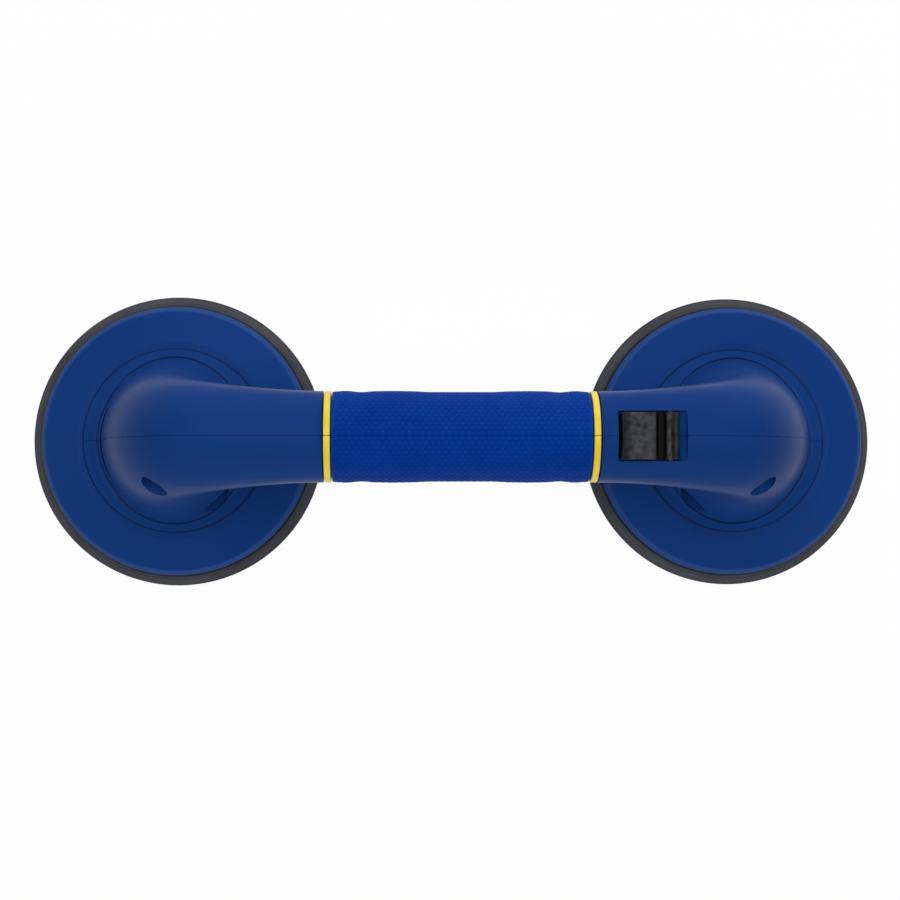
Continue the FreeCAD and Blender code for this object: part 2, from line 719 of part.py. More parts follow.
def halfTube(name, start, finish, sign):
    tube = minus(f"{name}_tube",
                 rod(f"{name}_outside", "grip_radius", f"({finish}) - ({start})",
                     (start, "0", "handle_height"), "X"),
                 rod(f"{name}_inside", "core_radius", f"({finish}) - ({start}) + 2",
                     (f"{start} - 1", "0", "handle_height"), "X"))
    return overlap(name, tube, halfSpace(f"{name}_space", sign))


# Grip halves and accent rings, seated on the handle's core
for end, half in (("front", -1), ("rear", 1)):
    sleeve = halfTube(f"grip_{end}_sleeve", "-grip_end", "grip_end", half)
    gap = box(f"grip_{end}_slot", ("-cup_spacing", "-slot_half_width", "0"),
              ("cup_spacing", "slot_half_width", "handle_height"))
    finished(minus(f"grip_{end}_half", sleeve, gap), f"grip_{end}")
    for side, sign in hands:
        near, far = "grip_end + ring_gap", "ring_end"
        start, finish = (f"-({far})", f"-({near})") if sign < 0 else (near, far)
        finished(halfTube(f"ring_{side}_{end}_half", start, finish, half), f"ring_{side}_{end}")

# Housing screws: one group of equal screws, driven in from the front
screws = []
for name, x, z, seat in screw_places:
    head = rod(f"screw_{name}_head", "screw_head_radius", "screw_head_height",
               (x, f"-{seat} - screw_head_height", z))
    drive = rod(f"screw_{name}_drive", "screw_head_radius * 0.45", "screw_head_height * 0.6",
                (x, f"-{seat} - screw_head_height", z))
    shank = rod(f"screw_{name}_shank", "screw_radius", "screw_length", (x, f"-{seat}", z))
    screws.append(minus(f"screw_{name}", fused(f"screw_{name}_blank", head, shank), drive))
group = doc.addObject("Part::Compound", "screw_group")
group.Links = screws
finished(group, "shell_screws")

# Squeeze trigger: a hollow rounded bar, with two arms at each end that reach out to the lever
side_view = plate("trigger_side_view", [
    ("-trigger_length / 2", "trigger_bottom", "trigger_end_round"),
    ("trigger_length / 2", "trigger_bottom", "trigger_end_round"),
    ("trigger_length / 2", "trigger_top"),
    ("-trigger_length / 2", "trigger_top"),
], "2 * trigger_half_width")
end_view = plate("trigger_end_view", [
    ("-trigger_half_width", "trigger_bottom", "trigger_side_round"),
    ("trigger_half_width", "trigger_bottom", "trigger_side_round"),
    ("trigger_half_width", "trigger_top"),
    ("-trigger_half_width", "trigger_top"),
], "trigger_length", "YZ_Plane")
side_hollow = plate("trigger_side_hollow", [
    ("-trigger_length / 2 + trigger_wall", "trigger_bottom + trigger_wall", "trigger_end_round - 2"),
    ("trigger_length / 2 - trigger_wall", "trigger_bottom + trigger_wall", "trigger_end_round - 2"),
    ("trigger_length / 2 - trigger_wall", "trigger_top + 8"),
    ("-trigger_length / 2 + trigger_wall", "trigger_top + 8"),
], "2 * trigger_half_width")
end_hollow = plate("trigger_end_hollow", [
    ("trigger_wall - trigger_half_width", "trigger_bottom + trigger_wall", "trigger_side_round - 2"),
    ("trigger_half_width - trigger_wall", "trigger_bottom + trigger_wall", "trigger_side_round - 2"),
    ("trigger_half_width - trigger_wall", "trigger_top + 8"),
    ("trigger_wall - trigger_half_width", "trigger_top + 8"),
], "trigger_length", "YZ_Plane")
bar = minus("trigger_bar", overlap("trigger_blank", side_view, end_view),
            overlap("trigger_channel", side_hollow, end_hollow))
additions = []
holes = []
bar_end = "trigger_length / 2"
arm_end = "trigger_pin_x + trigger_pin_radius + 2"
for side, sign in hands:
    for piece, near, far, low in (
            ("root", "trigger_length / 2 - trigger_wall - 1.6", bar_end, "trigger_top - 9"),
            ("web", bar_end, "web_end", "arm_bottom")):
        start, finish = (f"-({far})", f"-({near})") if sign < 0 else (near, far)
        additions.append(box(f"trigger_{piece}_{side}", (start, "-arm_outer", low),
                             (finish, "arm_outer", "arm_top")))
    arm = plate(f"trigger_arms_{side}", [
        (f"{sign} * {bar_end}", "arm_bottom"),
        (f"{sign} * ({arm_end})", "arm_bottom", "3"),
        (f"{sign} * ({arm_end})", "arm_top", "3"),
        (f"{sign} * {bar_end}", "arm_top"),
    ], "2 * arm_outer")
    start, finish = (f"-({arm_end}) - 1", "-(web_end)") if sign < 0 else ("web_end", f"{arm_end} + 1")
    between = box(f"trigger_fork_{side}", (start, "-arm_inner", "arm_bottom - 1"),
                  (finish, "arm_inner", "arm_top + 1"))
    additions.append(minus(f"trigger_arm_pair_{side}", arm, between))
    holes.append(rod(f"trigger_pin_hole_{side}", "trigger_pin_radius + pin_fit", "4 * arm_outer",
                     (f"{sign} * trigger_pin_x", "-2 * arm_outer", "trigger_pin_height")))
    finished(rod(f"trigger_{side}_pin", "trigger_pin_radius", "2 * arm_outer",
                 (f"{sign} * trigger_pin_x", "-arm_outer", "trigger_pin_height")), f"trigger_pin_{side}")
additions.append(rod("trigger_post", "spring_post_radius", "spring_post_height",
                     ("0", "0", "trigger_bottom + trigger_wall - 0.5"), "Z"))
finished(minus("trigger_body", fused("trigger_whole", bar, *additions), *holes), "trigger")

# Ratchet strip: it stands against the right arm's web, with its foot hooked below, and its
# teeth face away from the grip. When the trigger is fully squeezed, the pawl that has swung in
# by its catching turn lies in the gap under the tooth at catch_level.
strip_face = "web_end + strip_thickness"
pawl_tip = "web_end + strip_thickness + tooth_depth + tip_clearance"
caught_height = (f"release_pivot_height + (release_pivot - ({pawl_tip})) * sin(catch_turn)"
                 " - (release_pivot_height - pawl_tip_height) * cos(catch_turn)")
catch_level = f"{caught_height} + tooth_under + tooth_land - trigger_travel"
strip_corners = [
    ("web_end - web_thickness + running_gap", "arm_bottom - strip_foot"),
    (strip_face, "arm_bottom - strip_foot", "0.6"),
    (strip_face, f"{catch_level} - tooth_pitch"),
]
for tooth in (-1, 0, 1):
    low = f"{catch_level} + {tooth} * tooth_pitch"
    strip_corners.append((f"{strip_face} + tooth_depth", f"{low} + tooth_under"))
    strip_corners.append((f"{strip_face} + tooth_depth", f"{low} + tooth_under + tooth_land"))
    strip_corners.append((strip_face, f"{low} + tooth_pitch"))
strip_corners += [
    (strip_face, "arm_top"),
    ("web_end", "arm_top"),
    ("web_end", "arm_bottom"),
    ("web_end - web_thickness + running_gap", "arm_bottom"),
]
finished(plate("strip_plate", strip_corners, "strip_width"), "ratchet_strip")

# Trigger spring: wound wire between the trigger's floor and the seat under the handle's top
spring_low = "trigger_bottom + trigger_wall + spring_wire + 0.1"
spring_high = "spring_seat_height - spring_wire - 0.1"
coil = doc.addObject("Part::Helix", "spring_coil")
tie(coil, "Height", f"({spring_high}) - ({spring_low})")
tie(coil, "Pitch", f"(({spring_high}) - ({spring_low})) / spring_turns")
tie(coil, "Radius", "spring_radius")
wire = doc.addObject("Part::RegularPolygon", "spring_wire")
wire.Polygon = 4
tie(wire, "Circumradius", "spring_wire")
wire.Placement = Placement(Vector(), Rotation(Vector(1, 0, 0), 90))
put(wire, "spring_radius")
sweep = doc.addObject("Part::Sweep", "spring_wound")
sweep.Sections = [wire]
sweep.Spine = (coil, ["Edge1"])
sweep.Solid = True
sweep.Frenet = True
put(sweep, "0", "0", spring_low)
finished(sweep, "trigger_spring")

# Thumb release: a rocker on a cross pin. Its pad lies in the housing's window, with a valley
# and two ridges over the pin, and the pawl under its grip end faces the ratchet strip.
pad_top = "handle_height + grip_radius + release_proud"
under = "release_pivot_height + release_skin"
release_top = plate("release_pad", [
    ("release_start", under),
    ("release_start", f"{pad_top} - 1.6", "1.6"),
    ("release_start + 6", f"{pad_top} + 0.6", "14"),
    ("release_start + 12.2", f"{pad_top} - 0.5", "1.4"),
    ("release_start + 13.2", f"{pad_top} - 3.1", "0.7"),
    ("release_start + 15.4", f"{pad_top} - 3.1", "0.5"),
    ("release_start + 16.4", f"{pad_top} - 0.4", "0.4"),
    ("release_start + 17.7", f"{pad_top} - 0.2", "0.5"),
    ("release_start + 18.3", f"{pad_top} - 1.4", "0.3"),
    ("release_start + 19.3", f"{pad_top} - 0.6", "0.4"),
    ("release_end", f"{pad_top} - 1.1", "0.4"),
    ("release_end", under),
], "2 * release_half_width")
pawl = plate("release_pawl", [
    (pawl_tip, "pawl_tip_height"),
    (f"{pawl_tip} + 1.5", "pawl_tip_height - 1.5", "0.4"),
    (f"{pawl_tip} + 3.2", "pawl_tip_height - 0.6", "0.6"),
    ("release_start + 4.2", "release_pivot_height - 2", "2"),
    ("release_start + 4.2", f"{under} + 1"),
    ("release_start", f"{under} + 1"),
    ("release_start", "release_pivot_height - 1", "1.5"),
    (f"{pawl_tip} + 1.7", "pawl_tip_height + 0.55", "0.5"),
], "pawl_width")
hubs = rod("release_hub", "release_pin_radius + 1.1", "2 * release_half_width",
           ("release_pivot", "-release_half_width", "release_pivot_height"))
middle = box("release_spring_room",
             ("release_pivot - 2.4", "-2.7", "release_pivot_height - 5"),
             ("release_end + 1", "2.7", "release_pivot_height + 2.4"))
bore = rod("release_bore", "release_pin_radius + pin_fit", "4 * release_half_width",
           ("release_pivot", "-2 * release_half_width", "release_pivot_height"))
release = minus("release", fused("release_blank", release_top, pawl, hubs), middle, bore)
finished(release, "release_rocker")
finished(rod("release_cross_pin", "release_pin_radius", "2 * release_pin_half",
             ("release_pivot", "-release_pin_half", "release_pivot_height")), "rocker_pin")

# Torsion spring round the rocker's pin: close-wound turns, with one leg under the rocker's pad
# and one under the roof of the handle's bore
coil_radius = "release_pin_radius + 0.75"
coil_outline = [("release_pin_radius + 0.35", "release_spring_turns * release_spring_wire"),
                ("release_pin_radius + 0.35", "-release_spring_turns * release_spring_wire")]
for turn in range(int(number("release_spring_turns"))):
    valley = f"(2 * {turn} - release_spring_turns) * release_spring_wire"
    coil_outline.append((f"{coil_radius} + 0.1", valley))
    coil_outline.append((f"{coil_radius} + release_spring_wire", f"{valley} + release_spring_wire"))
coil_outline.append((f"{coil_radius} + 0.1", "release_spring_turns * release_spring_wire"))
wound = revolved("rocker_spring_turns", coil_outline)
wound.Placement = Placement(Vector(), turns["Y"])
put(wound, "release_pivot", "0", "release_pivot_height")
legs = [
    rod("rocker_spring_leg_rocker", "release_spring_wire", "6",
        (f"release_pivot - ({coil_radius}) - 6", "-3 * release_spring_wire",
         f"{under} - release_spring_wire - 0.05"), "X"),
    rod("rocker_spring_leg_housing", "release_spring_wire", "8",
        (f"release_pivot + {coil_radius} - 0.1", "3 * release_spring_wire",
         "handle_height + core_bore - release_spring_wire - 0.12"), "X"),
]
finished(fused("rocker_spring_whole", wound, *legs), "rocker_spring")

doc.recompute()
for obj in doc.Objects:
    if any(word in obj.State for word in ("Invalid", "Error")):
        raise RuntimeError(f"{obj.Name} ({obj.Label}) did not build: {obj.State}")
os.makedirs("parts", exist_ok=True)
for node in nodes:
    if node.Shape.isNull() or not node.Shape.isValid():
        raise RuntimeError(f"{node.Label} has no valid shape")
    node.Shape.exportStep(f"parts/{node.Label}.step")
    print(f"{node.Label}: {len(node.Shape.Solids)} solid(s), {node.Shape.Volume / 1000:.2f} cm3")
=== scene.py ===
import bpy
import bmesh
import json
import math
from mathutils import Euler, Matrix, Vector


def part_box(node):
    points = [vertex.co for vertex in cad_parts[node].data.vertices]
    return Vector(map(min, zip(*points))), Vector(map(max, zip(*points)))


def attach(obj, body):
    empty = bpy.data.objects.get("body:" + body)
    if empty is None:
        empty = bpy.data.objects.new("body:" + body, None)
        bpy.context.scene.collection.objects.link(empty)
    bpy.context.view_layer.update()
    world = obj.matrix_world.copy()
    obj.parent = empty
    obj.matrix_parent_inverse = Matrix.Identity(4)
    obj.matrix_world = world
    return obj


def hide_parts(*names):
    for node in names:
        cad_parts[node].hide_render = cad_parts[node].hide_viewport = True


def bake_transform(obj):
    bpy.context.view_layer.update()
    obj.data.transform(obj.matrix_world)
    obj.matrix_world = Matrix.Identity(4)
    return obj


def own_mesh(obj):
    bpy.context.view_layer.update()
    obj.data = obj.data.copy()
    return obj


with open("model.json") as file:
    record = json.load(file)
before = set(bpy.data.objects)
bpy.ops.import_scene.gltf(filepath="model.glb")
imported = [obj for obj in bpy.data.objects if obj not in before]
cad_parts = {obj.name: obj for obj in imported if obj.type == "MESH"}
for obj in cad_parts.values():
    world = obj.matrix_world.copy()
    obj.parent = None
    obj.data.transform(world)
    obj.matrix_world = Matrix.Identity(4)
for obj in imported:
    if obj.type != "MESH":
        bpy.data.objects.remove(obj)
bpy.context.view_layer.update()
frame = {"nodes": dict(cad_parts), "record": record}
nodes = frame["nodes"]
mm = 0.001  # the pieces' own sizes are in millimetres
cupX = {"left": -112.5, "right": 112.5}
gripHeight = 75.0  # the grip's axis above the tile
print("stage: frame loaded,", len(nodes), "nodes")


# materials

noiseSpan = {"colour": (0.3, 0.7), "gloss": (0.35, 0.75)}  # where the noise turns from dark to light


def newMaterial(name):
    mat = bpy.data.materials.new(name)
    mat.use_nodes = True
    return mat, mat.node_tree, mat.node_tree.nodes["Principled BSDF"]


def objectNoise(tree, scale, detail, stretch=(1, 1, 1)):
    coords = tree.nodes.new("ShaderNodeTexCoord")
    mapping = tree.nodes.new("ShaderNodeMapping")
    mapping.inputs["Scale"].default_value = stretch
    noise = tree.nodes.new("ShaderNodeTexNoise")
    noise.inputs["Scale"].default_value = scale
    noise.inputs["Detail"].default_value = detail
    tree.links.new(coords.outputs["Object"], mapping.inputs["Vector"])
    tree.links.new(mapping.outputs["Vector"], noise.inputs["Vector"])
    return noise.outputs["Fac"]


def objectAxes(tree):
    coords = tree.nodes.new("ShaderNodeTexCoord")
    split = tree.nodes.new("ShaderNodeSeparateXYZ")
    tree.links.new(coords.outputs["Object"], split.inputs["Vector"])
    return split.outputs["X"], split.outputs["Y"], split.outputs["Z"]


def mathNode(tree, operation, *values):
    # numbers are set on the node, and sockets are linked to it
    node = tree.nodes.new("ShaderNodeMath")
    node.operation = operation
    for place, value in zip(node.inputs, values):
        if isinstance(value, float):
            place.default_value = value
        else:
            tree.links.new(value, place)
    return node.outputs["Value"]


def ramp(tree, source, span, dark, light):
    node = tree.nodes.new("ShaderNodeValToRGB")
    first, last = node.color_ramp.elements
    first.position, last.position = span
    first.color, last.color = (*dark, 1), (*light, 1)
    tree.links.new(source, node.inputs["Fac"])
    return node.outputs["Color"]


def addBump(tree, shader, height, distance):
    bump = tree.nodes.new("ShaderNodeBump")
    bump.inputs["Distance"].default_value = distance
    tree.links.new(height, bump.inputs["Height"])
    before = shader.inputs["Normal"].links
    if before:
        tree.links.new(before[0].from_socket, bump.inputs["Normal"])
    tree.links.new(bump.outputs["Normal"], shader.inputs["Normal"])


def mouldedPlastic(name, look):
    # satin moulding: the colour drifts a little, the gloss is uneven and the skin has a fine grain
    mat, tree, shader = newMaterial(name)
    drift = objectNoise(tree, look["driftScale"], detail=2.0)
    scuffs = objectNoise(tree, look["scuffScale"], detail=4.0, stretch=(1, 4, 1))
    grain = objectNoise(tree, look["grainScale"], detail=2.0)
    smooth, dull = look["rough"]
    colour = ramp(tree, drift, noiseSpan["colour"], look["dark"], look["light"])
    rough = ramp(tree, scuffs, noiseSpan["gloss"], (smooth,) * 3, (dull,) * 3)
    tree.links.new(colour, shader.inputs["Base Color"])
    tree.links.new(rough, shader.inputs["Roughness"])
    addBump(tree, shader, grain, look["grainDepth"])
    addBump(tree, shader, drift, look["waveDepth"])
    shader.inputs["Specular IOR Level"].default_value = look["specular"]
    return mat


def blendTowards(mat, factor, colour):
    tree = mat.node_tree
    base = tree.nodes["Principled BSDF"].inputs["Base Color"]
    mix = tree.nodes.new("ShaderNodeMix")
    mix.data_type = "RGBA"
    mix.inputs["B"].default_value = (*colour, 1)
    tree.links.new(factor, mix.inputs["Factor"])
    tree.links.new(base.links[0].from_socket, mix.inputs["A"])
    tree.links.new(mix.outputs["Result"], base)


def cupDistance(tree, halfLength, halfWidth):
    # 1 on an ellipse about the nearer cup's axis, seen from above
    x, y, height = objectAxes(tree)
    flat = tree.nodes.new("ShaderNodeCombineXYZ")
    away = mathNode(tree, "SUBTRACT", mathNode(tree, "ABSOLUTE", x), cupX["right"] * mm)
    tree.links.new(away, flat.inputs["X"])
    tree.links.new(y, flat.inputs["Y"])
    shape = tree.nodes.new("ShaderNodeVectorMath")
    shape.operation = "MULTIPLY"
    shape.inputs[1].default_value = (1 / (halfLength * mm), 1 / (halfWidth * mm), 0)
    size = tree.nodes.new("ShaderNodeVectorMath")
    size.operation = "LENGTH"
    tree.links.new(flat.outputs["Vector"], shape.inputs[0])
    tree.links.new(shape.outputs["Vector"], size.inputs[0])
    return size.outputs["Value"], height


def paintedLightBand(mat, line):
    # a soft band of painted shade or painted highlight, as its colour gives, where the ellipse crosses the
    # surface, below a height
    tree = mat.node_tree
    distance, height = cupDistance(tree, line["halfLength"], line["halfWidth"])
    near = tree.nodes.new("ShaderNodeMapRange")
    near.interpolation_type = "SMOOTHSTEP"
    near.inputs["From Min"].default_value = line["width"] / line["halfLength"]
    near.inputs["From Max"].default_value = 0.0
    near.inputs["To Max"].default_value = line["strength"]
    away = mathNode(tree, "ABSOLUTE", mathNode(tree, "SUBTRACT", distance, 1.0))
    tree.links.new(away, near.inputs["Value"])
    below = mathNode(tree, "LESS_THAN", height, line["below"] * mm)
    blendTowards(mat, mathNode(tree, "MULTIPLY", near.outputs["Result"], below), line["colour"])


def paintedGrooveShade(mat, look):
    # painted shade: the grooves are darker than the crests, by height
    tree = mat.node_tree
    depth = tree.nodes.new("ShaderNodeMapRange")
    depth.inputs["From Min"].default_value = look["unshadedAbove"] * mm
    depth.inputs["From Max"].default_value = look["shadeBelow"] * mm
    tree.links.new(objectAxes(tree)[2], depth.inputs["Value"])
    blendTowards(mat, depth.outputs["Result"], look["grooveShade"])


# grain and wave depths are in metres, and heights in millimetres
housingLook = {"dark": (0.0060, 0.036, 0.172), "light": (0.0078, 0.043, 0.195), "rough": (0.28, 0.35),
               "driftScale": 18.0, "scuffScale": 45.0, "grainScale": 2600.0, "grainDepth": 0.00001,
               "waveDepth": 0.0002, "specular": 0.03}
# the grip's last two entries paint shade into the scallops' dents
gripLook = {"dark": (0.0008, 0.034, 0.26), "light": (0.0012, 0.042, 0.30), "rough": (0.5, 0.6),
            "driftScale": 60.0, "scuffScale": 90.0, "grainScale": 3000.0, "grainDepth": 0.00002,
            "waveDepth": 0.0, "specular": 0.05, "dentShade": (0.0004, 0.014, 0.105), "dentShadeShare": 0.5}
accentLook = {"dark": (0.74, 0.53, 0.03), "light": (0.80, 0.61, 0.055), "rough": (0.32, 0.4),
              "driftScale": 90.0, "scuffScale": 120.0, "grainScale": 2600.0, "grainDepth": 0.00002,
              "waveDepth": 0.0, "specular": 0.5}
# the release's last three entries paint shade into its grooves, by height
releaseLook = {"dark": (0.015, 0.0155, 0.017), "light": (0.056, 0.058, 0.063), "rough": (0.28, 0.42),
               "driftScale": 420.0, "scuffScale": 260.0, "grainScale": 2200.0, "grainDepth": 0.00004,
               "waveDepth": 0.00004, "specular": 0.5, "grooveShade": (0.003, 0.003, 0.0035),
               "shadeBelow": 91.2, "unshadedAbove": 92.6}
rubberLook = {"dark": (0.041, 0.043, 0.051), "light": (0.063, 0.065, 0.075), "rough": (0.55, 0.7),
              "driftScale": 35.0, "scuffScale": 120.0, "grainScale": 1500.0, "grainDepth": 0.00005,
              "waveDepth": 0.0, "specular": 0.25}
steelLook = {"bright": (0.62, 0.61, 0.58), "dull": (0.45, 0.44, 0.42), "rough": (0.24, 0.4),
             "driftScale": 400.0, "stretch": (1, 1, 6), "colourSpan": (0.35, 0.7), "glossSpan": (0.3, 0.7)}

# painted shade in the crease round each elbow's foot and along the foot's edge on the disc, and a painted
# highlight inside the disc's rim
discLow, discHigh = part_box("cup_disc_left")
rimInset = 1.3
rimRadius = (discHigh[1] - discLow[1]) / 2 / mm - rimInset
paintedShadeBlue = (0.001, 0.006, 0.03)
# painted shade in the crease round each elbow's foot
jointPaintedShade = {"halfLength": 29.4, "halfWidth": 33.4, "width": 0.5, "below": 26.0, "strength": 0.9,
             "colour": paintedShadeBlue}
# painted shade along the foot's edge on the disc
footPaintedShade = {"halfLength": 36.8, "halfWidth": 36.8, "width": 0.7, "below": 30.0, "strength": 0.5,
            "colour": paintedShadeBlue}
# painted highlight, a lighter band just inside the disc's rim
rimPaintedHighlight = {"halfLength": rimRadius, "halfWidth": rimRadius, "width": 1.3, "below": 30.0, "strength": 0.55,
           "colour": (0.035, 0.085, 0.26)}
# painted shade on the pad's outer lip and in the gap beside the disc
padShade = (0.008, 0.008, 0.009)
lipPaintedShade = {"halfLength": 58.9, "halfWidth": 58.9, "width": 0.9, "below": 10.0, "strength": 0.8,
           "colour": padShade}
# painted shade in the gap beside the disc
gapPaintedShade = {"halfLength": 54.6, "halfWidth": 54.6, "width": 1.6, "below": 10.0, "strength": 0.8,
           "colour": padShade}

housingPlastic = mouldedPlastic("housingPlastic", housingLook)
for line in (jointPaintedShade, footPaintedShade, rimPaintedHighlight):
    paintedLightBand(housingPlastic, line)

gripPlastic = mouldedPlastic("gripPlastic", gripLook)
# painted shade in the scallops' dents, by the dent depth kept on the sleeve
dentShadeAttribute = gripPlastic.node_tree.nodes.new("ShaderNodeAttribute")
dentShadeAttribute.attribute_name = "dentShade"
dentShadeFactor = mathNode(gripPlastic.node_tree, "MULTIPLY", dentShadeAttribute.outputs["Fac"], gripLook["dentShadeShare"])
blendTowards(gripPlastic, dentShadeFactor, gripLook["dentShade"])

accentPlastic = mouldedPlastic("accentPlastic", accentLook)

releasePlastic = mouldedPlastic("releasePlastic", releaseLook)
# painted shade in the release's grooves
paintedGrooveShade(releasePlastic, releaseLook)

padRubber = mouldedPlastic("padRubber", rubberLook)
# painted shade on the pad's lip and beside the disc
for line in (lipPaintedShade, gapPaintedShade):
    paintedLightBand(padRubber, line)

platedSteel, steelTree, steelShader = newMaterial("platedSteel")
steelDrift = objectNoise(steelTree, steelLook["driftScale"], detail=3.0, stretch=steelLook["stretch"])
steelColour = ramp(steelTree, steelDrift, steelLook["colourSpan"], steelLook["dull"], steelLook["bright"])
steelSmooth, steelDull = steelLook["rough"]
steelRough = ramp(steelTree, steelDrift, steelLook["glossSpan"], (steelSmooth,) * 3, (steelDull,) * 3)
steelTree.links.new(steelColour, steelShader.inputs["Base Color"])
steelTree.links.new(steelRough, steelShader.inputs["Roughness"])
steelShader.inputs["Metallic"].default_value = 1.0

finishes = {"housing_plastic": housingPlastic, "trigger_plastic": housingPlastic,
            "grip_overmould": gripPlastic, "accent_plastic": accentPlastic,
            "release_plastic": releasePlastic, "pad_rubber": padRubber, "plated_steel": platedSteel}
slotOf = {part["node"]: part["material_slot"] for part in frame["record"]["subparts"]}
for name, obj in nodes.items():
    obj.data.materials.clear()
    obj.data.materials.append(finishes[slotOf[name]])
print("stage: finishes on the frame")


# helpers for the pieces

mergeGap = {"cad": 0.000002, "turned": 0.000005}  # metres


def startClean():
    if bpy.context.object and bpy.context.object.mode != "OBJECT":
        bpy.ops.object.mode_set(mode="OBJECT")
    bpy.ops.object.select_all(action="DESELECT")


def pick(obj):
    startClean()
    obj.select_set(True)
    bpy.context.view_layer.objects.active = obj


def editAll(obj):
    # edit mode with the whole mesh selected
    pick(obj)
    bpy.ops.object.mode_set(mode="EDIT")
    bpy.ops.mesh.select_all(action="SELECT")


def applyModifiers(obj):
    pick(obj)
    for modifier in list(obj.modifiers):
        bpy.ops.object.modifier_apply(modifier=modifier.name)


def settle(obj):
    # leave the object at the origin, with its place in its mesh
    pick(obj)
    bpy.ops.object.transform_apply(location=True, rotation=True, scale=True)


def finishPiece(obj, name, body, slot, replaced, smoothAngle=35):
    settle(obj)
    obj.name = name
    obj.data.name = name
    obj.data.materials.clear()
    obj.data.materials.append(finishes[slot])
    pick(obj)
    bpy.ops.object.shade_smooth_by_angle(angle=math.radians(smoothAngle))
    if body:
        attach(obj, body)
    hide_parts(replaced)


def roundEdges(obj, width, segments, sharpAngle):
    rounding = obj.modifiers.new("rounding", "BEVEL")
    rounding.width = width * mm
    rounding.segments = segments
    rounding.limit_method = "ANGLE"
    rounding.angle_limit = math.radians(sharpAngle)
    applyModifiers(obj)


def copyOfNode(node):
    # a merged copy of a CAD node's loose triangles, ready to be shaped
    startClean()
    piece = bpy.data.objects.new(node + "Copy", nodes[node].data.copy())
    bpy.context.scene.collection.objects.link(piece)
    editAll(piece)
    bpy.ops.mesh.remove_doubles(threshold=mergeGap["cad"])
    bpy.ops.mesh.customdata_custom_splitnormals_clear()
    bpy.ops.object.mode_set(mode="OBJECT")
    return piece


def softened(node, name, body, slot, width, flatAngle):
    # the CAD shape with its flat facets joined and its edges rounded
    piece = copyOfNode(node)
    editAll(piece)
    bpy.ops.mesh.dissolve_limited(angle_limit=math.radians(flatAngle))
    bpy.ops.object.mode_set(mode="OBJECT")
    roundEdges(piece, width, segments=3, sharpAngle=40)
    finishPiece(piece, name, body, slot, node)


def turnedPiece(profile, x, steps):
    # spin a closed (radius, height) outline in millimetres about a cup's own axis
    startClean()
    mesh = bpy.data.meshes.new("outline")
    points = [(x * mm + r * mm, 0, z * mm) for r, z in profile]
    mesh.from_pydata(points, [(i, (i + 1) % len(points)) for i in range(len(points))], [])
    piece = bpy.data.objects.new("turned", mesh)
    bpy.context.scene.collection.objects.link(piece)
    editAll(piece)
    bpy.ops.mesh.spin(steps=steps, angle=2 * math.pi, center=(x * mm, 0, 0), axis=(0, 0, 1))
    bpy.ops.mesh.select_all(action="SELECT")
    bpy.ops.mesh.remove_doubles(threshold=mergeGap["turned"])
    bpy.ops.mesh.normals_make_consistent(inside=False)
    bpy.ops.object.mode_set(mode="OBJECT")
    return piece


# rubber pads: the sealing ring, fixed to the root, and the middle, a piece of its own

padShape = {"steps": 144, "stillBelow": 3.5, "drawnAbove": 6.2, "smooth": 40}
ringProfile = [(44.9, 3.6), (44.9, 0.05), (45.6, 0.0), (57.6, 0.0), (58.3, 0.25), (58.75, 0.8), (58.95, 1.5),
               (58.95, 2.2), (58.8, 2.9), (58.4, 3.4), (57.8, 3.75), (57.2, 4.05), (56.9, 4.35), (56.5, 4.6),
               (56.0, 4.62), (55.7, 5.0), (55.2, 5.5), (54.6, 5.8), (53.9, 5.9), (47.6, 5.9), (46.9, 5.6)]
middleProfile = [(0.0, 3.0), (12.0, 3.0), (24.0, 2.5), (36.95, 1.65), (44.9, 0.05), (44.9, 3.6), (40.0, 3.9),
                 (30.0, 4.5), (20.0, 5.1), (15.6, 5.4), (14.2, 5.7), (13.2, 6.2), (12.6, 6.8), (12.2, 7.8),
                 (12.0, 8.8), (11.8, 9.4), (11.4, 9.8), (10.8, 10.0), (5.3, 10.0), (5.3, 8.3), (9.3, 8.3),
                 (9.3, 5.7), (0.0, 5.7)]
for side, x in cupX.items():
    ring = turnedPiece(ringProfile, x, padShape["steps"])
    finishPiece(ring, side + "PadRing", "root", "pad_rubber", "suction_pad_" + side, padShape["smooth"])
    middle = turnedPiece(middleProfile, x, padShape["steps"])
    finishPiece(middle, side + "PadMiddle", None, "pad_rubber", "suction_pad_" + side, padShape["smooth"])
    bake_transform(middle)
print("stage: rubber pads")


# grip halves: a soft sleeve with rows of small scallops and a gentle swell under each finger

gripShape = {"length": 94.6, "radius": 16.9, "wall": 1.4, "columns": 276, "rows": 150, "pitchAlong": 2.4,
             "pitchAround": 1.7, "relief": 0.4, "wander": 0.42, "drop": 0.24, "margin": 1.2, "edgeDrop": 0.25,
             "edgeWidth": 0.4, "topAngle": 0.25, "slotHalfWidth": 10.4, "smooth": 80}
# how far the sleeve stands out at a distance from its middle
swells = [(0, -0.3), (11, -0.3), (19, 0.02), (25, 0.1), (31, 0.02), (36.5, -0.35), (42.5, 0.1), (47.4, -0.2)]


def smoothStep(t):
    t = min(max(t, 0.0), 1.0)
    return t * t * (3 - 2 * t)


def swellAt(x):
    x = abs(x)
    for (x0, s0), (x1, s1) in zip(swells, swells[1:]):
        if x <= x1:
            return s0 + (s1 - s0) * smoothStep((x - x0) / (x1 - x0))
    return swells[-1][1]


def scallopAt(along, around):
    # rows that wave in turn one way and the other, each rising slowly and dropping fast
    shape = gripShape
    row = around / shape["pitchAround"]
    wave = shape["wander"] * math.cos(2 * math.pi * along / shape["pitchAlong"]) * math.cos(math.pi * row)
    t = (row + wave) % 1.0
    return smoothStep(t / (1 - shape["drop"])) * (1 - smoothStep((t - 1 + shape["drop"]) / shape["drop"]))


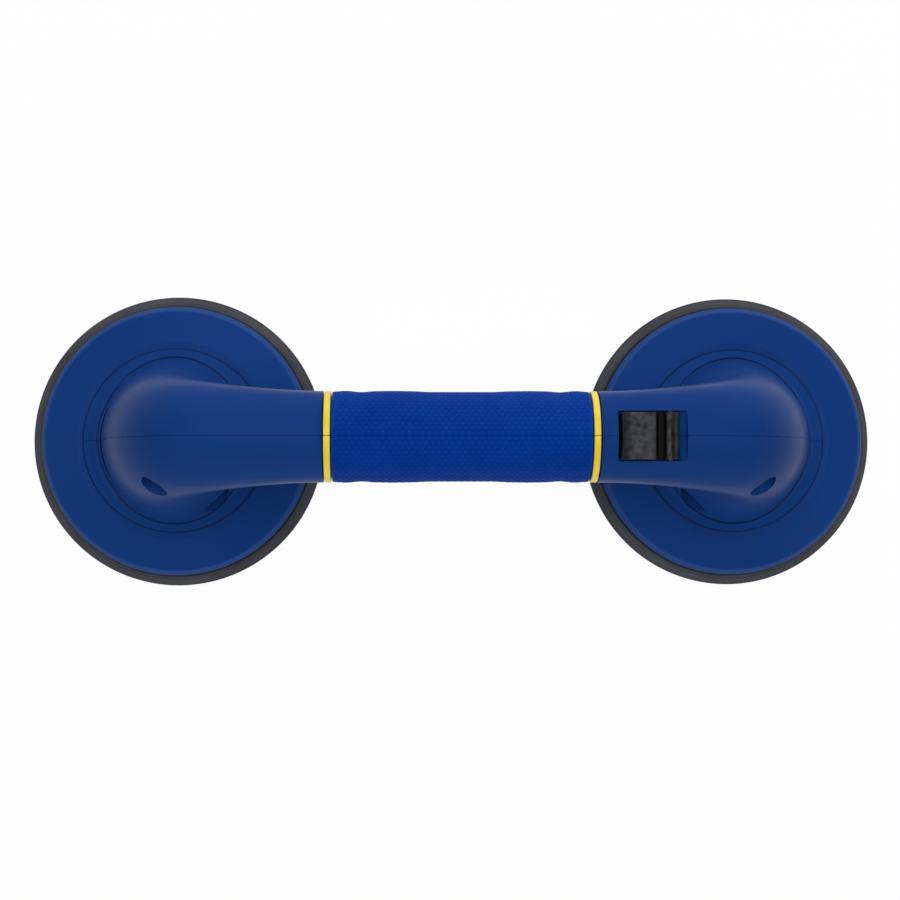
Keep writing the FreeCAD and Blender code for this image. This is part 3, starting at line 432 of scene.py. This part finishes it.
def gripHalf(name, sign, node):
    shape = gripShape
    half = shape["length"] / 2
    endAngle = math.pi - math.asin(shape["slotHalfWidth"] / shape["radius"])
    startAngle = math.radians(shape["topAngle"])
    arc = (endAngle - startAngle) * shape["radius"]
    startClean()
    bpy.ops.mesh.primitive_grid_add(x_subdivisions=shape["columns"], y_subdivisions=shape["rows"], size=2)
    piece = bpy.context.object
    dentShade = piece.data.attributes.new("dentShade", "FLOAT", "POINT")
    for vertex in piece.data.vertices:
        along = vertex.co.x * half
        turned = (vertex.co.y + 1) / 2
        angle = startAngle + turned * (endAngle - startAngle)
        around = turned * arc
        edge = min(half - abs(along), arc - around)
        depth = (1 - scallopAt(along, around)) * smoothStep(edge / shape["margin"])
        # the dent depth, kept for the painted shade in the dents
        dentShade.data[vertex.index].value = depth
        lip = shape["edgeDrop"] * (1 - smoothStep(edge / shape["edgeWidth"]))
        radius = shape["radius"] + swellAt(along) - shape["relief"] * depth - lip
        vertex.co = (along * mm, sign * math.sin(angle) * radius * mm,
                     (gripHeight + math.cos(angle) * radius) * mm)
    if sign < 0:
        editAll(piece)
        bpy.ops.mesh.flip_normals()
        bpy.ops.object.mode_set(mode="OBJECT")
    wall = piece.modifiers.new("wall", "SOLIDIFY")
    wall.thickness = shape["wall"] * mm
    wall.offset = -1
    applyModifiers(piece)
    finishPiece(piece, name, "root", "grip_overmould", node, shape["smooth"])


gripHalf("gripSleeveFront", -1, "grip_front")
gripHalf("gripSleeveRear", 1, "grip_rear")
print("stage: grip sleeve")


# accent rings, thumb release and trigger: the CAD shapes with their edges softened

edgeRounding = {"ring": 0.35, "release": 0.3, "trigger": 0.4}
for side in cupX:
    for end in ("front", "rear"):
        softened(f"ring_{side}_{end}", f"{side}Ring{end.title()}", "root", "accent_plastic",
                 edgeRounding["ring"], flatAngle=2)
print("stage: accent rings")
softened("release_rocker", "thumbRelease", "release", "release_plastic", edgeRounding["release"], flatAngle=1)
softened("trigger", "squeezeTrigger", "trigger_bar", "trigger_plastic", edgeRounding["trigger"], flatAngle=1)
print("stage: thumb release and trigger")


# release spring: the CAD spring copied, its turns on the cross pin

releaseSpringShape = {"legReach": 3.0, "smooth": 60}
releaseSpring = copyOfNode("rocker_spring")
finishPiece(releaseSpring, "releaseSpring", None, "plated_steel", "rocker_spring",
            releaseSpringShape["smooth"])
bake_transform(releaseSpring)
print("stage: release spring")


# trigger spring: a wound wire

springShape = {"radius": 5.2, "wire": 0.8, "turns": 6, "sides": 10, "steps": 28, "squeezedShare": 0.61,
               "smooth": 60}
springLow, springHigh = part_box("trigger_spring")
springBottom = springLow[2] + springShape["wire"] * mm
springRise = (springHigh[2] - springLow[2]) - 2 * springShape["wire"] * mm
startClean()
bpy.ops.mesh.primitive_circle_add(vertices=springShape["sides"], radius=springShape["wire"] * mm,
                                  location=(springShape["radius"] * mm, 0, springBottom),
                                  rotation=(math.pi / 2, 0, 0))
wire = bpy.context.object
settle(wire)
wound = wire.modifiers.new("wound", "SCREW")
wound.axis = "Z"
wound.angle = 2 * math.pi
wound.screw_offset = springRise / springShape["turns"]
wound.iterations = springShape["turns"]
wound.steps = springShape["steps"]
wound.render_steps = springShape["steps"]
applyModifiers(wire)
pick(wire)
bpy.ops.object.mode_set(mode="EDIT")
bpy.ops.mesh.select_all(action="DESELECT")
bpy.ops.mesh.select_mode(type="EDGE")
bpy.ops.mesh.select_non_manifold(extend=False)
bpy.ops.mesh.fill()
bpy.ops.mesh.select_all(action="SELECT")
bpy.ops.mesh.normals_make_consistent(inside=False)
bpy.ops.object.mode_set(mode="OBJECT")
finishPiece(wire, "windingSpring", "root", "plated_steel", "trigger_spring", springShape["smooth"])
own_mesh(wire)
print("stage: trigger spring")


# housing screws: pan heads with a cross recess

screwShape = {"sides": 32, "headRadius": 3.1, "headHeight": 2.4, "shankRadius": 1.55, "length": 22.0,
              "tipLength": 3.0, "tipShare": 0.3, "crown": 0.6, "crossWidth": 0.9, "crossReach": 2.0,
              "crossDepth": 1.5, "crossTurn": 20}
# each pair's place: outwards from the cups' axes, height, and where the heads rest on y
screwPairs = [{"outwards": 0.8, "height": 71.0, "seat": -12.0},
              {"outwards": -17.5, "height": 23.2, "seat": -16.0}]


def oneScrew(x, z, seat):
    shape = screwShape
    startClean()
    bpy.ops.mesh.primitive_cylinder_add(vertices=shape["sides"], radius=shape["headRadius"] * mm,
                                        depth=shape["headHeight"] * mm,
                                        location=(x * mm, (seat - shape["headHeight"] / 2) * mm, z * mm),
                                        rotation=(math.pi / 2, 0, 0))
    screw = bpy.context.object
    settle(screw)
    pick(screw)
    bpy.ops.object.mode_set(mode="EDIT")
    bpy.ops.mesh.select_mode(type="FACE")
    mesh = bmesh.from_edit_mesh(screw.data)
    for face in mesh.faces:
        face.select = face.normal.y > 0.9  # the face under the head
    bmesh.update_edit_mesh(screw.data)
    shank = shape["length"] - shape["tipLength"]
    bpy.ops.mesh.inset(thickness=(shape["headRadius"] - shape["shankRadius"]) * mm, depth=0)
    bpy.ops.mesh.extrude_region_move(TRANSFORM_OT_translate={"value": (0, shank * mm, 0)})
    bpy.ops.mesh.extrude_region_move(TRANSFORM_OT_translate={"value": (0, shape["tipLength"] * mm, 0)})
    bpy.ops.transform.resize(value=(shape["tipShare"], 1, shape["tipShare"]),
                             center_override=(x * mm, 0, z * mm))
    bpy.ops.object.mode_set(mode="OBJECT")
    roundEdges(screw, shape["crown"], segments=3, sharpAngle=60)
    for turn in (0, 90):
        startClean()
        bpy.ops.mesh.primitive_cube_add(size=1, location=(x * mm, (seat - shape["headHeight"]) * mm, z * mm),
                                        rotation=(0, math.radians(turn + shape["crossTurn"]), 0))
        blade = bpy.context.object
        blade.scale = (2 * shape["crossReach"] * mm, 2 * shape["crossDepth"] * mm, shape["crossWidth"] * mm)
        settle(blade)
        recess = screw.modifiers.new("recess", "BOOLEAN")
        recess.operation = "DIFFERENCE"
        recess.solver = "EXACT"
        recess.object = blade
        applyModifiers(screw)
        bpy.data.objects.remove(blade, do_unlink=True)
    return screw


screws = [oneScrew(sign * (cupX["right"] + pair["outwards"]), pair["height"], pair["seat"])
          for pair in screwPairs for sign in (-1, 1)]
startClean()
for screw in screws:
    screw.select_set(True)
bpy.context.view_layer.objects.active = screws[0]
bpy.ops.object.join()
finishPiece(screws[0], "housingScrews", "root", "plated_steel", "shell_screws")
print("stage: housing screws")


# floor, light and camera

def seenRays(tree):
    # 1 for what the camera sees, also in gloss and through glass
    path = tree.nodes.new("ShaderNodeLightPath")
    seen = path.outputs["Is Camera Ray"]
    for ray in ("Is Glossy Ray", "Is Transmission Ray"):
        seen = mathNode(tree, "MAXIMUM", seen, path.outputs[ray])
    return seen


# the floor, the lights and the camera are sized and placed in metres
stageLook = {"floorSize": 8.0, "floorHeight": -0.0003, "floorColour": (0.88, 0.88, 0.88), "floorRough": 0.9,
             "whiteShare": 0.95}
startClean()
bpy.ops.mesh.primitive_plane_add(size=stageLook["floorSize"], location=(0, 0, stageLook["floorHeight"]))
floor = bpy.context.object
floor.name = "floor"
floorMat, floorTree, floorShader = newMaterial("floorWhite")
floorShader.inputs["Base Color"].default_value = (*stageLook["floorColour"], 1)
floorShader.inputs["Roughness"].default_value = stageLook["floorRough"]
floorShader.inputs["Specular IOR Level"].default_value = 0.0
glow = floorTree.nodes.new("ShaderNodeEmission")
mixer = floorTree.nodes.new("ShaderNodeMixShader")
whiteness = mathNode(floorTree, "MULTIPLY", seenRays(floorTree), stageLook["whiteShare"])
floorTree.links.new(whiteness, mixer.inputs["Fac"])
floorTree.links.new(floorShader.outputs["BSDF"], mixer.inputs[1])
floorTree.links.new(glow.outputs["Emission"], mixer.inputs[2])
floorTree.links.new(mixer.outputs["Shader"], floorTree.nodes["Material Output"].inputs["Surface"])
floor.data.materials.append(floorMat)

softboxes = {"overheadBox": {"place": (0.1, 0.25, 1.6), "aim": (0, 0, 0), "size": (1.6, 1.2), "watts": 21},
             "backBox": {"place": (0.2, 1.5, 0.7), "aim": (0, 0, 0.05), "size": (2.2, 0.8), "watts": 16},
             "frontBox": {"place": (-0.2, -1.5, 0.7), "aim": (0, 0, 0.05), "size": (2.2, 0.8), "watts": 13}}
for name, box in softboxes.items():
    light = bpy.data.lights.new(name, "AREA")
    light.shape = "RECTANGLE"
    light.size, light.size_y = box["size"]
    light.energy = box["watts"]
    lamp = bpy.data.objects.new(name, light)
    bpy.context.scene.collection.objects.link(lamp)
    lamp.location = box["place"]
    lamp.rotation_euler = (Vector(box["aim"]) - Vector(box["place"])).to_track_quat("-Z", "Y").to_euler()
    lamp.visible_glossy = False  # gloss shows the floor and the backdrop

worldLook = {"low": (0.25, 0.25, 0.25), "high": (0.03, 0.03, 0.03), "skySpan": (0.05, 0.45),
             "white": (1, 1, 1), "dimSky": (0.1, 0.1, 0.1), "backdropSpan": (0.1, 0.3)}
world = bpy.data.worlds.new("studio")
bpy.context.scene.world = world
world.use_nodes = True
worldTree = world.node_tree
background = worldTree.nodes["Background"]
direction = worldTree.nodes.new("ShaderNodeTexCoord")
split = worldTree.nodes.new("ShaderNodeSeparateXYZ")
worldTree.links.new(direction.outputs["Generated"], split.inputs["Vector"])
rise = split.outputs["Z"]
sky = ramp(worldTree, rise, worldLook["skySpan"], worldLook["low"], worldLook["high"])
backdrop = ramp(worldTree, rise, worldLook["backdropSpan"], worldLook["white"], worldLook["dimSky"])
worldMix = worldTree.nodes.new("ShaderNodeMix")
worldMix.data_type = "RGBA"
worldTree.links.new(seenRays(worldTree), worldMix.inputs["Factor"])
worldTree.links.new(sky, worldMix.inputs["A"])
worldTree.links.new(backdrop, worldMix.inputs["B"])
worldTree.links.new(worldMix.outputs["Result"], background.inputs["Color"])
background.inputs["Strength"].default_value = 1.0

# turns are in degrees, and the sensor in millimetres
cameraPlace = {"location": (-0.02448, -0.01675, 0.72021), "turns": (1.055, -1.819, -0.019), "sensor": 36,
               "focalPixels": 1746.3, "photoPixels": 900, "nearest": 0.01, "farthest": 50}
cameraData = bpy.data.cameras.new("camera")
cameraData.sensor_width = cameraPlace["sensor"]
cameraData.lens = cameraPlace["sensor"] * cameraPlace["focalPixels"] / cameraPlace["photoPixels"]
cameraData.clip_start = cameraPlace["nearest"]
cameraData.clip_end = cameraPlace["farthest"]
camera = bpy.data.objects.new("camera", cameraData)
bpy.context.scene.collection.objects.link(camera)
camera.location = cameraPlace["location"]
camera.rotation_euler = Euler([math.radians(turn) for turn in cameraPlace["turns"]], "XYZ")
bpy.context.scene.camera = camera
bpy.context.scene.view_settings.view_transform = "Standard"
print("stage: floor, light and camera")
